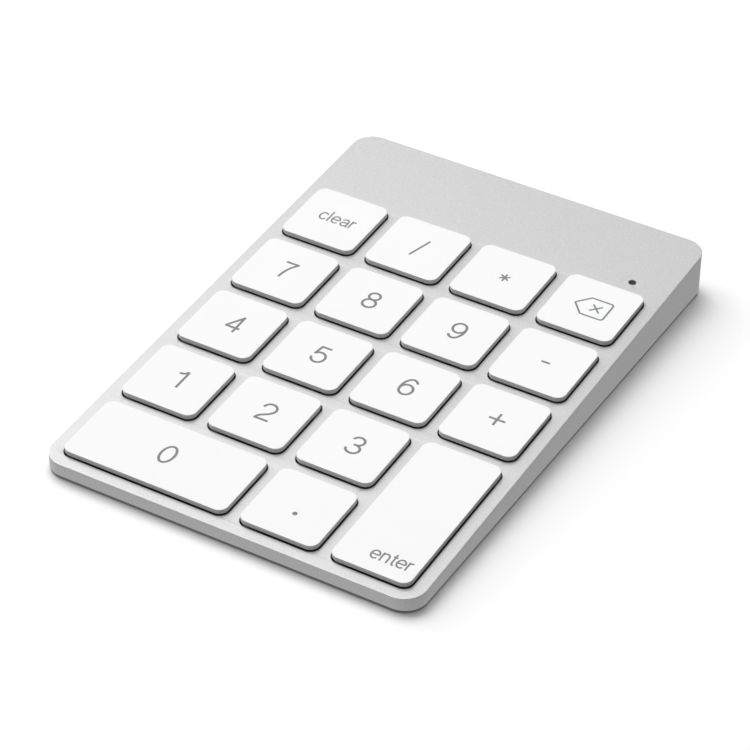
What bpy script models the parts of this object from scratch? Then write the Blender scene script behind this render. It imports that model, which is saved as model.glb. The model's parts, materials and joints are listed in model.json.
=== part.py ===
"""Slim wireless numeric keypad: an aluminium wedge that holds eighteen scissor-guided keys.

+X is to the user's right, +Y to the rear and +Z up. The origin is on the desk, under the middle
of the casing. Everything that belongs to the keys is placed in the deck frame: an empty whose
origin is the middle of the key grid on the casing's sloping top face, with its Z square to that face.
"""

import math

import bmesh
import bpy
from mathutils import Matrix, Vector

MM = 0.001

# Casing
BODY_WIDTH = 79.0 * MM
BODY_DEPTH = 116.6 * MM
BODY_CORNER = 4.5 * MM
RIM_HEIGHT = 0.7 * MM  # lower rim above the desk
FRONT_HEIGHT = 3.4 * MM  # top face above the desk, at the front edge
REAR_HEIGHT = 9.67 * MM
WALL = 1.6 * MM
WEB = 1.0 * MM  # thickness of the top face
EDGE_CHAMFER = 0.2 * MM
TILT = math.atan2(REAR_HEIGHT - FRONT_HEIGHT, BODY_DEPTH)

# Key grid
PITCH = 19.0 * MM
COLUMNS = 4
ROWS = 5
GRID_SETBACK = 48.8 * MM  # front edge to the middle of the grid, along the deck
CAP_GAP = 2.9 * MM  # between neighbouring caps
CAP_CORNER = 1.85 * MM
CAP_TOP = 1.15 * MM  # above the deck
CAP_BOTTOM = 0.15 * MM  # the cap ends a little above the casing
CAP_UNDERSIDE = 0.4 * MM  # ceiling of the cap's pocket
CAP_SKIRT = 0.8 * MM
CAP_FILLET = 0.3 * MM
BOSS_RADIUS = 1.5 * MM
BOSS_HEIGHT = 0.3 * MM
WELL_GAP = 0.27 * MM  # cap to casing, all round
KEY_TRAVEL = 1.2 * MM

# Layers under the keys, measured from the deck
PLATE_BOTTOM = -2.1 * MM
PLATE_TOP = -1.85 * MM
MEMBRANE_BOTTOM = -1.8 * MM
MEMBRANE_TOP = -1.7 * MM
DOME_FILM_BOTTOM = -1.65 * MM
DOME_FILM_TOP = -1.53 * MM
DOME_TOP = 0.06 * MM
DOME_BASE_RADIUS = 2.7 * MM
DOME_TOP_RADIUS = 1.4 * MM
DOME_WALL = 0.3 * MM
DOME_PAD = 7.0 * MM
DOME_RUNNER = 2.0 * MM
PLATE_WIDTH = 74.6 * MM
PLATE_DEPTH = 93.6 * MM

# Scissor frames: flat when the key is down
FRAME_WIDTH = 12.4 * MM
FRAME_LENGTH = 10.6 * MM
FRAME_BAR = 0.9 * MM
FRAME_THICK = 0.45 * MM
FRAME_LOW = -1.42 * MM  # underside of a flat frame
HINGE_Y = 4.85 * MM  # from the key's centre
HINGE_Z = -1.3 * MM
ROD_RADIUS = 0.2 * MM
ROD_LENGTH = 13.9 * MM
HOOK_WIDTH = 0.5 * MM
HOOK_X = 6.6 * MM
HOOK_TOP = -0.86 * MM
HOOK_LIP = 0.2 * MM
HOOK_CLEARANCE = 0.1 * MM
FRAME_REACH = HINGE_Y + FRAME_LENGTH / 2
FRAME_TILT = math.asin(KEY_TRAVEL / FRAME_REACH)

# Stabiliser wires of the two long keys
WIRE_RADIUS = 0.2 * MM
WIRE_HALF_SPAN = 14.0 * MM
WIRE_ARM = 4.5 * MM
WIRE_FOOT = 0.7 * MM
WIRE_HINGE_OFFSET = 1.8 * MM
WIRE_HINGE_Z = -1.3 * MM
WIRE_TILT = math.asin(KEY_TRAVEL / WIRE_ARM)

# Bottom cover, feet and cover screws
COVER_BOTTOM = 0.45 * MM
COVER_TOP = 1.0 * MM
COVER_GAP = 0.15 * MM
FOOT_RADIUS = 4.0 * MM
FOOT_TOP = 0.65 * MM
FOOT_RECESS = 0.7 * MM  # ceiling of the recess a foot is glued into
FOOT_X = 30.5 * MM
FRONT_FOOT_Y = -49.5 * MM
REAR_FOOT_Y = 48.5 * MM
SCREW_PAD_TOP = 2.0 * MM
SCREW_HEAD_RADIUS = 1.2 * MM
SCREW_HEAD = 0.45 * MM
SCREW_SEAT = 1.3 * MM
SHANK_RADIUS = 0.6 * MM
SHANK_LENGTH = 4.0 * MM
SHANK_CLEARANCE = 0.08 * MM
CASING_BOSS_RADIUS = 1.9 * MM

# Rear electronics
BOARD_BOTTOM = 2.6 * MM
BOARD_TOP = 3.4 * MM
BOARD_HALF_WIDTH = 27.0 * MM
BOARD_FRONT = 42.0 * MM
BOARD_REAR = 55.0 * MM
BOARD_SCREW_X = 23.5 * MM
BOARD_SCREW_Y = 44.8 * MM
PART_GAP = 0.05 * MM
PORT_WIDTH = 8.94 * MM
PORT_HEIGHT = 3.16 * MM
PORT_LENGTH = 7.3 * MM
PORT_WALL = 0.3 * MM
PORT_FACE = BODY_DEPTH / 2 - 0.2 * MM
PORT_Z = BOARD_TOP + PART_GAP + PORT_HEIGHT / 2
SWITCH_X = 17.0 * MM
SWITCH_TRAVEL = 2.0 * MM
KNOB_WIDTH = 2.4 * MM
KNOB_HEIGHT = 1.6 * MM
BUTTON_X = -17.0 * MM
BUTTON_RADIUS = 1.4 * MM
BUTTON_TRAVEL = 0.25 * MM
CONTROL_FACE = BODY_DEPTH / 2 - 0.1 * MM
LED_X = 31.45 * MM
LED_DECK_Y = 50.2 * MM
LED_HOLE_RADIUS = 0.8 * MM
LENS_RADIUS = 0.74 * MM

ARC_STEPS = 4
ROUND_STEPS = 16

# name, column, row from the rear, columns wide, rows deep
KEYS = (
    ("clear", 0, 0, 1, 1),
    ("divide", 1, 0, 1, 1),
    ("multiply", 2, 0, 1, 1),
    ("backspace", 3, 0, 1, 1),
    ("7", 0, 1, 1, 1),
    ("8", 1, 1, 1, 1),
    ("9", 2, 1, 1, 1),
    ("minus", 3, 1, 1, 1),
    ("4", 0, 2, 1, 1),
    ("5", 1, 2, 1, 1),
    ("6", 2, 2, 1, 1),
    ("plus", 3, 2, 1, 1),
    ("1", 0, 3, 1, 1),
    ("2", 1, 3, 1, 1),
    ("3", 2, 3, 1, 1),
    ("enter", 3, 3, 1, 2),
    ("0", 0, 4, 2, 1),
    ("decimal", 2, 4, 1, 1),
)


# ---------------------------------------------------------------- scene and helpers


def clear_scene():
    for obj in list(bpy.data.objects):
        bpy.data.objects.remove(obj)


def new_collection(name):
    made = bpy.data.collections.new(name)
    bpy.context.scene.collection.children.link(made)
    return made


def new_material(name, colour, roughness, metallic=0.0):
    made = bpy.data.materials.new(name)
    made.use_nodes = True
    shader = made.node_tree.nodes["Principled BSDF"]
    shader.inputs["Base Color"].default_value = (*colour, 1.0)
    shader.inputs["Roughness"].default_value = roughness
    shader.inputs["Metallic"].default_value = metallic
    return made


def add_object(name, mesh, collection, material=None):
    obj = bpy.data.objects.new(name, mesh)
    collection.objects.link(obj)
    if material:
        mesh.materials.clear()
        mesh.materials.append(material)
    if collection == CUTTERS:
        obj.hide_render = True
        obj.display_type = "WIRE"
    return obj


def on_deck(obj, x=0.0, y=0.0, z=0.0, tilt=0.0, turn=0.0):
    """Places obj in the deck frame, turned by tilt about its own X and then by turn about Z."""
    obj.parent = DECK
    obj.location = (x, y, z)
    obj.rotation_euler = (tilt, 0.0, turn)
    return obj


def rounded_outline(width, depth, radius, x=0.0, y=0.0):
    """Corners of a rectangle with round corners, anticlockwise, centred on x, y."""
    points = []
    for quarter, (sx, sy) in enumerate(((1, 1), (-1, 1), (-1, -1), (1, -1))):
        cx = x + sx * (width / 2 - radius)
        cy = y + sy * (depth / 2 - radius)
        for step in range(ARC_STEPS + 1):
            angle = (quarter + step / ARC_STEPS) * math.pi / 2
            points.append((cx + radius * math.cos(angle), cy + radius * math.sin(angle)))
    return points


def rectangle(width, depth, x=0.0, y=0.0):
    return [
        (x + width / 2, y + depth / 2),
        (x - width / 2, y + depth / 2),
        (x - width / 2, y - depth / 2),
        (x + width / 2, y - depth / 2),
    ]


def slab_mesh(outlines, low, high):
    """Closed mesh between two heights. The first outline is the edge and any others are holes."""
    curve = bpy.data.curves.new("outline", "CURVE")
    curve.dimensions = "2D"
    curve.fill_mode = "BOTH"
    curve.extrude = (high - low) / 2
    for outline in outlines:
        spline = curve.splines.new("POLY")
        spline.points.add(len(outline) - 1)
        for point, (x, y) in zip(spline.points, outline):
            point.co = (x, y, 0.0, 1.0)
        spline.use_cyclic_u = True
    holder = bpy.data.objects.new("outline", curve)
    bpy.context.scene.collection.objects.link(holder)
    mesh = baked(holder)
    bpy.data.objects.remove(holder)
    mesh.transform(Matrix.Translation((0.0, 0.0, (low + high) / 2)))
    return edited(mesh, lambda bm: bmesh.ops.remove_doubles(bm, verts=bm.verts, dist=1e-7))


def baked(obj):
    """A new mesh of the object with its modifiers applied."""
    bpy.context.view_layer.update()
    graph = bpy.context.evaluated_depsgraph_get()
    return bpy.data.meshes.new_from_object(obj.evaluated_get(graph))


def edited(mesh, change):
    bm = bmesh.new()
    bm.from_mesh(mesh)
    change(bm)
    bmesh.ops.recalc_face_normals(bm, faces=bm.faces)
    bm.to_mesh(mesh)
    bm.free()
    return mesh


def box_mesh(low, high):
    bm = bmesh.new()
    bmesh.ops.create_cube(bm, size=1.0)
    low, high = Vector(low), Vector(high)
    bmesh.ops.scale(bm, vec=high - low, verts=bm.verts)
    bmesh.ops.translate(bm, vec=(low + high) / 2, verts=bm.verts)
    mesh = bpy.data.meshes.new("box")
    bm.to_mesh(mesh)
    bm.free()
    return mesh


def cone_mesh(base_radius, top_radius, low, high, x=0.0, y=0.0, segments=ROUND_STEPS):
    bm = bmesh.new()
    bmesh.ops.create_cone(
        bm,
        cap_ends=True,
        segments=segments,
        radius1=base_radius,
        radius2=top_radius,
        depth=high - low,
    )
    bmesh.ops.translate(bm, vec=(x, y, (low + high) / 2), verts=bm.verts)
    mesh = bpy.data.meshes.new("cone")
    bm.to_mesh(mesh)
    bm.free()
    return mesh


def cylinder_mesh(radius, low, high, x=0.0, y=0.0, segments=ROUND_STEPS):
    return cone_mesh(radius, radius, low, high, x, y, segments)


def turned_to_y(mesh, x, z):
    """Turns a mesh whose Z runs out of the rear wall so that it runs along +Y, at x, z."""
    mesh.transform(Matrix.Translation((x, 0.0, z)) @ Matrix.Rotation(-math.pi / 2, 4, "X"))
    return mesh


def merged(meshes):
    """One mesh that holds several separate bodies."""
    bm = bmesh.new()
    for mesh in meshes:
        bm.from_mesh(mesh)
    joined = bpy.data.meshes.new("merged")
    bm.to_mesh(joined)
    bm.free()
    return joined


def combine(obj, operation, mesh, placed_on_deck=False):
    """Adds a Boolean of obj with a mesh, which becomes a hidden cutter."""
    cutter = add_object(f"{obj.name}_{operation.lower()}", mesh, CUTTERS)
    if placed_on_deck:
        on_deck(cutter)
    modifier = obj.modifiers.new(operation.title(), "BOOLEAN")
    modifier.operation = operation
    modifier.object = cutter
    return obj


def shade(obj, angle=math.radians(35)):
    obj.data.shade_smooth()
    obj.data.set_sharp_from_angle(angle=angle)
    return obj


# ---------------------------------------------------------------- key grid


def key_place(key):
    """Centre and size of a cap in the deck frame."""
    _, column, row, wide, deep = key
    x = (column + wide / 2 - COLUMNS / 2) * PITCH
    y = (ROWS / 2 - row - deep / 2) * PITCH
    return x, y, wide * PITCH - CAP_GAP, deep * PITCH - CAP_GAP


def key_turn(key):
    """A tall key's mechanism is turned a quarter clockwise, so that its long axis is the key's."""
    _, _, _, wide, deep = key
    return -math.pi / 2 if deep > wide else 0.0


def mechanism_point(key, x, y):
    """Deck position of a point given in the frame of the key's mechanism."""
    centre_x, centre_y, _, _ = key_place(key)
    turned = Matrix.Rotation(key_turn(key), 2) @ Vector((x, y))
    return centre_x + turned.x, centre_y + turned.y


def deck_height(y):
    """Height of the top face above the desk at a place y in the world."""
    return FRONT_HEIGHT + (y + BODY_DEPTH / 2) * math.tan(TILT)


def slope_cut(mesh, depth_below_deck):
    """Cuts a tall prism off along a plane parallel to the deck."""
    normal = Vector((0.0, -math.sin(TILT), math.cos(TILT)))
    point = DECK.location - normal * depth_below_deck

    def cut(bm):
        bmesh.ops.bisect_plane(
            bm,
            geom=bm.verts[:] + bm.edges[:] + bm.faces[:],
            plane_co=point,
            plane_no=normal,
            clear_outer=True,
        )
        bmesh.ops.holes_fill(bm, edges=[e for e in bm.edges if e.is_boundary])

    return edited(mesh, cut)


# ---------------------------------------------------------------- casing and cover


def make_top_casing():
    tall = 2 * REAR_HEIGHT
    outer = slab_mesh([rounded_outline(BODY_WIDTH, BODY_DEPTH, BODY_CORNER)], RIM_HEIGHT, tall)
    casing = add_object("top_casing", slope_cut(outer, 0.0), PARTS, ALUMINIUM)
    bevel = casing.modifiers.new("Edge", "BEVEL")
    bevel.width = EDGE_CHAMFER
    bevel.segments = 1
    bevel.limit_method = "ANGLE"
    bevel.angle_limit = math.radians(60)

    inner_outline = rounded_outline(
        BODY_WIDTH - 2 * WALL, BODY_DEPTH - 2 * WALL, BODY_CORNER - WALL
    )
    combine(casing, "DIFFERENCE", slope_cut(slab_mesh([inner_outline], -RIM_HEIGHT, tall), WEB))
    combine(casing, "UNION", casing_bosses())
    combine(casing, "DIFFERENCE", boss_holes())
    combine(casing, "DIFFERENCE", well_cutters(), placed_on_deck=True)
    combine(casing, "DIFFERENCE", rear_wall_cutters())
    return shade(casing)


def casing_bosses():
    """Posts under the top face for the two cover screws and the two board screws."""
    posts = []
    for side in (-1, 1):
        for x, y, low in (
            (FOOT_X, REAR_FOOT_Y, SCREW_PAD_TOP + PART_GAP),
            (BOARD_SCREW_X, BOARD_SCREW_Y, BOARD_TOP + PART_GAP),
        ):
            high = deck_height(y) - WEB / 2
            posts.append(cylinder_mesh(CASING_BOSS_RADIUS, low, high, side * x, y))
    return merged(posts)


def boss_holes():
    holes = []
    radius = SHANK_RADIUS + SHANK_CLEARANCE
    for side in (-1, 1):
        for x, y, low, length in (
            (FOOT_X, REAR_FOOT_Y, SCREW_PAD_TOP, SHANK_LENGTH),
            (BOARD_SCREW_X, BOARD_SCREW_Y, BOARD_TOP, SHANK_LENGTH - 1.0 * MM),
        ):
            holes.append(cylinder_mesh(radius, low - MM, low + length, side * x, y, 12))
    return merged(holes)


def well_cutters():
    """The eighteen key wells and the light's hole, square to the deck."""
    low, high = -WEB - MM, MM
    cutters = []
    for key in KEYS:
        x, y, width, depth = key_place(key)
        outline = rounded_outline(
            width + 2 * WELL_GAP, depth + 2 * WELL_GAP, CAP_CORNER + WELL_GAP, x, y
        )
        cutters.append(slab_mesh([outline], low, high))
    cutters.append(cylinder_mesh(LED_HOLE_RADIUS, low, high, LED_X, LED_DECK_Y))
    return merged(cutters)


def rear_wall_cutters():
    """Openings for the charging port, the power switch's knob and the pairing button."""
    low, high = BODY_DEPTH / 2 - WALL - 0.5 * MM, BODY_DEPTH / 2 + MM
    clearance = 0.15 * MM
    port = rounded_outline(
        PORT_WIDTH + 2 * clearance, PORT_HEIGHT + 2 * clearance, PORT_HEIGHT / 2
    )
    slot = rounded_outline(
        KNOB_WIDTH + SWITCH_TRAVEL + 2 * clearance, KNOB_HEIGHT + 2 * clearance, 0.15 * MM
    )
    return merged(
        (
            turned_to_y(slab_mesh([port], low, high), 0.0, PORT_Z),
            turned_to_y(slab_mesh([slot], low, high), SWITCH_X, PORT_Z),
            turned_to_y(cylinder_mesh(BUTTON_RADIUS + clearance, low, high), BUTTON_X, PORT_Z),
        )
    )


def make_bottom_cover():
    inset = 2 * (WALL + COVER_GAP)
    outline = rounded_outline(
        BODY_WIDTH - inset, BODY_DEPTH - inset, BODY_CORNER - WALL - COVER_GAP
    )
    cover = add_object(
        "bottom_cover", slab_mesh([outline], COVER_BOTTOM, COVER_TOP), PARTS, COVER_PLASTIC
    )
    pads = [
        cylinder_mesh(FOOT_RADIUS, COVER_TOP - 0.1 * MM, SCREW_PAD_TOP, side * FOOT_X, REAR_FOOT_Y)
        for side in (-1, 1)
    ]
    combine(cover, "UNION", merged(pads))
    recesses = []
    screw_holes = []
    for side in (-1, 1):
        for y in (FRONT_FOOT_Y, REAR_FOOT_Y):
            radius = FOOT_RADIUS + 0.1 * MM
            recesses.append(cylinder_mesh(radius, 0.0, FOOT_RECESS, side * FOOT_X, y))
        screw_holes.append(
            cylinder_mesh(
                SCREW_HEAD_RADIUS + 0.1 * MM, 0.1 * MM, SCREW_SEAT, side * FOOT_X, REAR_FOOT_Y
            )
        )
    through = [
        cylinder_mesh(
            SHANK_RADIUS + SHANK_CLEARANCE, 0.2 * MM, 3 * MM, side * FOOT_X, REAR_FOOT_Y, 12
        )
        for side in (-1, 1)
    ]
    combine(cover, "DIFFERENCE", merged(recesses))
    combine(cover, "DIFFERENCE", merged(screw_holes))
    combine(cover, "DIFFERENCE", merged(through))
    return shade(cover)


def make_feet():
    for row, y in (("front", FRONT_FOOT_Y), ("rear", REAR_FOOT_Y)):
        for side, sign in (("left", -1), ("right", 1)):
            mesh = cylinder_mesh(FOOT_RADIUS, 0.0, FOOT_TOP, segments=24)
            foot = add_object(f"foot_{row}_{side}", mesh, PARTS, RUBBER)
            foot.location = (sign * FOOT_X, y, 0.0)
            shade(foot)


def screw_mesh(length):
    """Screw with its head below the origin and its shank along +Z."""
    head = cylinder_mesh(SCREW_HEAD_RADIUS, -SCREW_HEAD, 0.0, segments=16)
    body = bpy.data.objects.new("screw", head)
    bpy.context.scene.collection.objects.link(body)
    combine(body, "UNION", cylinder_mesh(SHANK_RADIUS, -0.1 * MM, length, segments=12))
    arm = 0.22 * MM
    reach = 0.7 * MM
    low, high = -SCREW_HEAD - 0.2 * MM, -SCREW_HEAD + 0.2 * MM
    combine(body, "DIFFERENCE", box_mesh((-reach, -arm, low), (reach, arm, high)))
    combine(body, "DIFFERENCE", box_mesh((-arm, -reach, low), (arm, reach, high)))
    mesh = baked(body)
    bpy.data.objects.remove(body)
    return mesh


def make_screws():
    cover_screw = screw_mesh(SHANK_LENGTH)
    board_screw = screw_mesh(SHANK_LENGTH - 1.0 * MM)
    for side, sign in (("left", -1), ("right", 1)):
        screw = add_object(f"cover_screw_{side}", cover_screw, PARTS, STEEL)
        screw.location = (sign * FOOT_X, REAR_FOOT_Y, SCREW_SEAT - PART_GAP)
        screw = add_object(f"board_screw_{side}", board_screw, PARTS, STEEL)
        screw.location = (sign * BOARD_SCREW_X, BOARD_SCREW_Y, BOARD_BOTTOM - PART_GAP)


# ---------------------------------------------------------------- keys


def cap_mesh(width, depth):
    """Cap with a soft upper edge, a pocket underneath and a boss that presses the dome."""
    outline = rounded_outline(width, depth, CAP_CORNER)
    mesh = slab_mesh([outline], CAP_BOTTOM, CAP_TOP)

    def shape(bm):
        bmesh.ops.dissolve_limit(bm, angle_limit=0.01, verts=bm.verts, edges=bm.edges)
        top = max(bm.faces, key=lambda f: f.calc_center_median().z)
        bmesh.ops.bevel(
            bm,
            geom=top.edges[:],
            offset=CAP_FILLET,
            segments=2,
            profile=0.5,
            affect="EDGES",
        )
        bottom = min(bm.faces, key=lambda f: f.calc_center_median().z)
        bmesh.ops.inset_region(bm, faces=[bottom], thickness=CAP_SKIRT)
        ceiling = bmesh.ops.extrude_discrete_faces(bm, faces=[bottom])["faces"][0]
        lift = (0.0, 0.0, CAP_UNDERSIDE - CAP_BOTTOM)
        bmesh.ops.translate(bm, vec=lift, verts=ceiling.verts)

    cap = bpy.data.objects.new("cap", edited(mesh, shape))
    bpy.context.scene.collection.objects.link(cap)
    boss = cylinder_mesh(
        BOSS_RADIUS, CAP_UNDERSIDE - BOSS_HEIGHT, CAP_UNDERSIDE + 0.1 * MM, segments=12
    )
    combine(cap, "UNION", boss)
    made = baked(cap)
    bpy.data.objects.remove(cap)
    return made


def make_keycaps():
    meshes = {}
    for key in KEYS:
        x, y, width, depth = key_place(key)
        size = (width, depth)
        if size not in meshes:
            meshes[size] = cap_mesh(width, depth)
        cap = add_object(f"keycap_{key[0]}", meshes[size], PARTS, CAP_PLASTIC)
        shade(on_deck(cap, x, y))


def frame_mesh():
    """Scissor frame, flat, with its origin on the hinge axis at its rear end."""
    outer = rectangle(FRAME_WIDTH, FRAME_LENGTH, 0.0, -HINGE_Y)
    inner = rectangle(
        FRAME_WIDTH - 2 * FRAME_BAR, FRAME_LENGTH - 2 * FRAME_BAR, 0.0, -HINGE_Y
    )
    low = FRAME_LOW - HINGE_Z
    ring = bpy.data.objects.new("frame", slab_mesh([outer, inner], low, low + FRAME_THICK))
    bpy.context.scene.collection.objects.link(ring)
    rod = cylinder_mesh(ROD_RADIUS, -ROD_LENGTH / 2, ROD_LENGTH / 2, segments=10)
    rod.transform(Matrix.Rotation(math.pi / 2, 4, "Y"))
    combine(ring, "UNION", rod)
    made = baked(ring)
    bpy.data.objects.remove(ring)
    return made


def make_scissor_frames():
    mesh = frame_mesh()
    for key in KEYS:
        x, y = mechanism_point(key, 0.0, HINGE_Y)
        frame = add_object(f"scissor_frame_{key[0]}", mesh, PARTS, LINK_PLASTIC)
        on_deck(frame, x, y, HINGE_Z, -FRAME_TILT, key_turn(key))


def make_stabiliser(key):
    """Bent wire that keeps a long cap level."""
    curve = bpy.data.curves.new("wire", "CURVE")
    curve.dimensions = "3D"
    curve.bevel_depth = WIRE_RADIUS
    curve.bevel_resolution = 2
    curve.use_fill_caps = True
    route = []
    for side in (-1, 1):
        foot = (side * (WIRE_HALF_SPAN + WIRE_FOOT), 0.0)
        knee = (side * WIRE_HALF_SPAN, 0.0)
        bend = (side * WIRE_HALF_SPAN, -WIRE_ARM)
        route += (foot, knee, bend) if side < 0 else (bend, knee, foot)
    spline = curve.splines.new("POLY")
    spline.points.add(len(route) - 1)
    for point, (x, y) in zip(spline.points, route):
        point.co = (x, y, 0.0, 1.0)
    wire = add_object(f"stabiliser_wire_{key[0]}", curve, PARTS, STEEL)
    x, y = mechanism_point(key, 0.0, -WIRE_HINGE_OFFSET)
    on_deck(wire, x, y, WIRE_HINGE_Z, -WIRE_TILT, key_turn(key))


# ---------------------------------------------------------------- layers under the keys


def is_long(key):
    _, _, _, wide, deep = key
    return wide * deep > 1


def hook_places():
    """Middle of each hook's hinge pin in the deck frame, and True where the pin runs along X."""
    places = []
    for key in KEYS:
        pins = [(side * HOOK_X, HINGE_Y) for side in (-1, 1)]
        if is_long(key):
            reach = WIRE_HALF_SPAN + WIRE_FOOT / 2
            pins += [(side * reach, -WIRE_HINGE_OFFSET) for side in (-1, 1)]
        places += [(*mechanism_point(key, *pin), key_turn(key) == 0.0) for pin in pins]
    return places


def hook_box(place, near, far, low, high):
    """Box that spans near to far behind a hinge pin, HOOK_WIDTH along it."""
    x, y, along_x = place
    half = HOOK_WIDTH / 2
    if along_x:
        return box_mesh((x - half, y + near, low), (x + half, y + far, high))
    return box_mesh((x + near, y - half, low), (x + far, y + half, high))


def make_key_plate():
    """Steel sheet with a hook for every hinge pin of the scissor frames and wires."""
    mesh = slab_mesh([rounded_outline(PLATE_WIDTH, PLATE_DEPTH, 2 * MM)], PLATE_BOTTOM, PLATE_TOP)
    plate = on_deck(add_object("key_plate", mesh, PARTS, STEEL))
    near = ROD_RADIUS + HOOK_CLEARANCE
    far = near + 0.3 * MM
    sunk = (PLATE_BOTTOM + PLATE_TOP) / 2
    posts = [hook_box(p, near, far, sunk, HOOK_TOP) for p in hook_places()]
    lips = [
        hook_box(p, -ROD_RADIUS / 2, far - 0.05 * MM, HOOK_TOP - HOOK_LIP, HOOK_TOP - 0.01 * MM)
        for p in hook_places()
    ]
    combine(plate, "UNION", merged(posts), placed_on_deck=True)
    combine(plate, "UNION", merged(lips), placed_on_deck=True)


def make_membrane():
    """Contact membrane with a window round every hook."""
    margin = 0.25 * MM
    windows = []
    for x, y, along_x in hook_places():
        near, far = -ROD_RADIUS - margin, ROD_RADIUS + HOOK_CLEARANCE + 0.3 * MM + margin
        across = HOOK_WIDTH + 2 * margin
        middle, span = (near + far) / 2, far - near
        if along_x:
            windows.append(rectangle(across, span, x, y + middle))
        else:
            windows.append(rectangle(span, across, x + middle, y))
    edge = rounded_outline(PLATE_WIDTH, PLATE_DEPTH, 2 * MM)
    mesh = slab_mesh([edge, *windows], MEMBRANE_BOTTOM, MEMBRANE_TOP)
    on_deck(add_object("contact_membrane", mesh, PARTS, FILM))


def runner(x0, x1, y0, y1):
    half = DOME_RUNNER / 2
    return box_mesh(
        (min(x0, x1) - half, min(y0, y1) - half, DOME_FILM_BOTTOM),
        (max(x0, x1) + half, max(y0, y1) + half, DOME_FILM_TOP),
    )


def make_dome_sheet():
    """One silicone moulding: a hollow dome under every key, joined by thin runners."""
    places = {key[0]: key_place(key)[:2] for key in KEYS}
    rows = (
        ("clear", "backspace"),
        ("7", "minus"),
        ("4", "plus"),
        ("1", "3"),
        ("0", "decimal"),
    )
    columns = (("clear", "1"), ("divide", "2"), ("multiply", "decimal"), ("backspace", "enter"))

    def runners(pairs):
        return merged([
            runner(places[a][0], places[b][0], places[a][1], places[b][1]) for a, b in pairs
        ])

    sheet = on_deck(add_object("dome_sheet", runners(rows), PARTS, SILICONE))
    combine(sheet, "UNION", runners(columns), placed_on_deck=True)
    thin = 0.01 * MM
    half = DOME_PAD / 2
    pads = [
        box_mesh(
            (x - half, y - half, DOME_FILM_BOTTOM - thin), (x + half, y + half, DOME_FILM_TOP + thin)
        )
        for x, y in places.values()
    ]
    combine(sheet, "UNION", merged(pads), placed_on_deck=True)
    domes = [
        cone_mesh(DOME_BASE_RADIUS, DOME_TOP_RADIUS, DOME_FILM_BOTTOM, DOME_TOP, x, y, 10)
        for x, y in places.values()
    ]
    combine(sheet, "UNION", merged(domes), placed_on_deck=True)
    hollows = [
        cone_mesh(
            DOME_BASE_RADIUS - DOME_WALL,
            DOME_TOP_RADIUS - DOME_WALL,
            DOME_FILM_BOTTOM - 0.2 * MM,
            DOME_TOP - 2 * DOME_WALL,
            x,
            y,
            10,
        )
        for x, y in places.values()
    ]
    combine(sheet, "DIFFERENCE", merged(hollows), placed_on_deck=True)


# ---------------------------------------------------------------- electronics


def make_main_board():
    """Circuit board behind the keys, with a tab that carries the status light."""
    tab_right, tab_front, tab_rear = 35.0 * MM, 38.2 * MM, 43.8 * MM
    outline = [
        (-BOARD_HALF_WIDTH, BOARD_FRONT),
        (BOARD_HALF_WIDTH - 2 * MM, BOARD_FRONT),
        (BOARD_HALF_WIDTH - 2 * MM, tab_front),
        (tab_right, tab_front),
        (tab_right, tab_rear),
        (BOARD_HALF_WIDTH, tab_rear),
        (BOARD_HALF_WIDTH, BOARD_REAR),
        (-BOARD_HALF_WIDTH, BOARD_REAR),
    ]
    board = add_object(
        "main_board", slab_mesh([outline], BOARD_BOTTOM, BOARD_TOP), PARTS, BOARD_GREEN
    )
    holes = [
        cylinder_mesh(
            SHANK_RADIUS + SHANK_CLEARANCE, 0.0, 2 * BOARD_TOP, side * BOARD_SCREW_X, BOARD_SCREW_Y, 12
        )
        for side in (-1, 1)
    ]
    combine(board, "DIFFERENCE", merged(holes))


def make_battery():
    """Flat lithium pouch under the rear half of the key plate."""
    mesh = box_mesh((-21.0 * MM, 2.0 * MM, 1.1 * MM), (21.0 * MM, 35.0 * MM, 4.1 * MM))
    battery = add_object("battery", mesh, PARTS, FOIL)
    bevel = battery.modifiers.new("Edge", "BEVEL")
    bevel.width = 0.8 * MM
    bevel.segments = 2


def make_usb_port():
    """USB-C receptacle: a steel shell with its mouth in the rear wall and a tongue inside."""
    outer = rounded_outline(PORT_WIDTH, PORT_HEIGHT, PORT_HEIGHT / 2 - 0.01 * MM)
    inner_height = PORT_HEIGHT - 2 * PORT_WALL
    inner = rounded_outline(
        PORT_WIDTH - 2 * PORT_WALL, inner_height, inner_height / 2 - 0.01 * MM
    )
    back = PORT_FACE - PORT_LENGTH
    shell = turned_to_y(slab_mesh([outer], back, PORT_FACE), 0.0, PORT_Z)
    port = add_object("usb_port", shell, PARTS, STEEL)
    depth = 6.2 * MM
    bore = turned_to_y(slab_mesh([inner], PORT_FACE - depth, PORT_FACE + MM), 0.0, PORT_Z)
    combine(port, "DIFFERENCE", bore)
    half_width, half_height = 3.35 * MM, 0.35 * MM
    tongue = box_mesh(
        (-half_width, PORT_FACE - depth - 0.5 * MM, PORT_Z - half_height),
        (half_width, PORT_FACE - 1.2 * MM, PORT_Z + half_height),
    )
    combine(port, "UNION", tongue)
    shade(port)


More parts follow.
